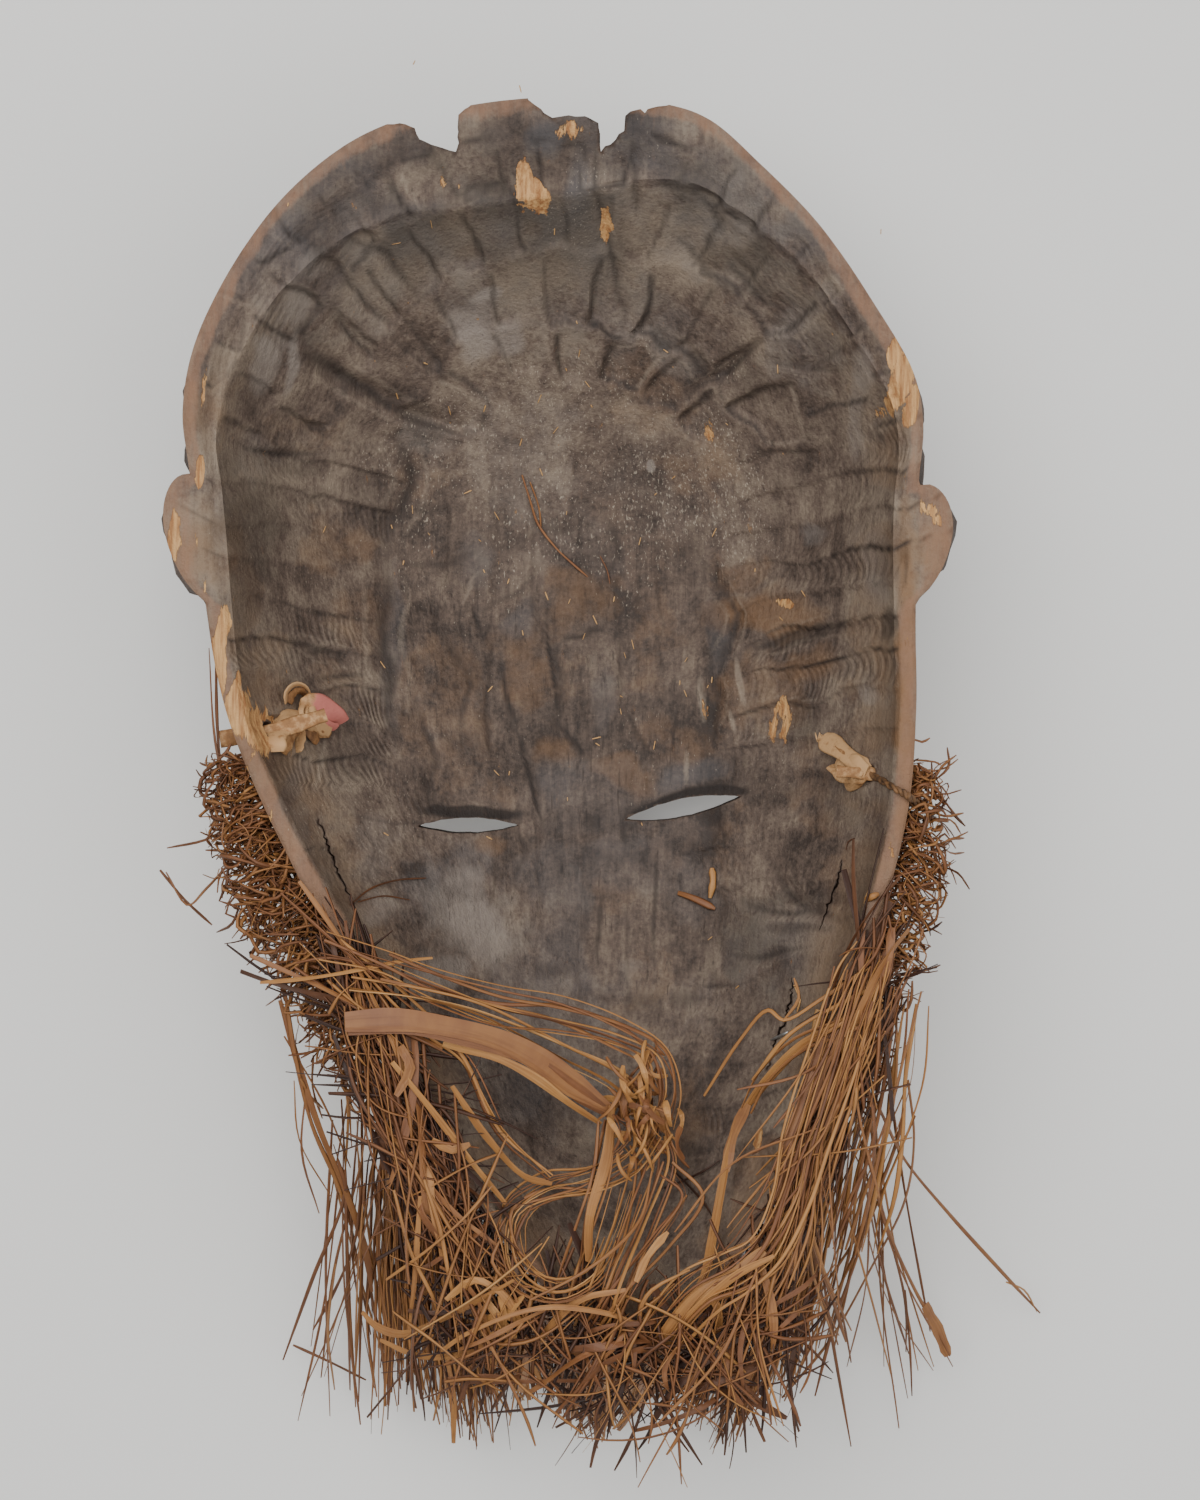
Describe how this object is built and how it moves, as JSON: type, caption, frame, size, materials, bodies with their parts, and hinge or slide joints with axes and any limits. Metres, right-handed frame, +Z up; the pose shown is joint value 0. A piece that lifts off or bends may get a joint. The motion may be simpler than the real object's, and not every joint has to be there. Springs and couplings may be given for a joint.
{
  "type": "cowrie shell mask",
  "caption": "Carved wooden face mask with a raffia beard and cowries round the jaw, lying on its face with the hollow up.",
  "frame": {"origin": "middle of the whole part's footprint, on the table that it lies on", "axes": "+X to the right as one looks into the hollow, +Y towards the crown, +Z up out of the hollow"},
  "size_m": [0.2494, 0.3872, 0.1025],
  "materials": {
    "carved_wood": "adzed, smoke-darkened, worn dull",
    "band_cloth": "coarse woven strip, soiled",
    "cowrie_shell": "naturally glossy shell, worn",
    "raffia_fibre": "dry leaf fibre with a soft sheen",
    "rawhide": "untanned, dry"
  },
  "bodies": {
    "root": {"mask_shell": "carved_wood", "beard_band": "band_cloth", "cowrie_01": "cowrie_shell", "cowrie_02": "cowrie_shell", "cowrie_03": "cowrie_shell", "cowrie_04": "cowrie_shell", "cowrie_05": "cowrie_shell", "cowrie_06": "cowrie_shell", "cowrie_07": "cowrie_shell", "cowrie_08": "cowrie_shell", "cowrie_09": "cowrie_shell", "cowrie_10": "cowrie_shell", "cowrie_11": "cowrie_shell", "cowrie_12": "cowrie_shell", "cowrie_13": "cowrie_shell", "cowrie_14": "cowrie_shell", "cowrie_15": "cowrie_shell", "cowrie_16": "cowrie_shell", "cowrie_17": "cowrie_shell", "cowrie_18": "cowrie_shell", "cowrie_19": "cowrie_shell", "cowrie_20": "cowrie_shell", "cowrie_21": "cowrie_shell", "cowrie_22": "cowrie_shell", "cowrie_23": "cowrie_shell", "raffia_roll_left": "raffia_fibre", "raffia_roll_right": "raffia_fibre", "raffia_hank_01": "raffia_fibre", "raffia_hank_02": "raffia_fibre", "raffia_hank_03": "raffia_fibre", "raffia_hank_04": "raffia_fibre", "raffia_hank_05": "raffia_fibre", "raffia_hank_06": "raffia_fibre", "raffia_hank_07": "raffia_fibre", "raffia_hank_08": "raffia_fibre", "raffia_hank_09": "raffia_fibre", "raffia_over_left_rim": "raffia_fibre", "raffia_over_chin": "raffia_fibre", "raffia_over_right_rim": "raffia_fibre", "raffia_lashings": "raffia_fibre", "raffia_stray_right": "raffia_fibre", "knot_left": "rawhide", "knot_right": "rawhide"}
  },
  "joints": []
}
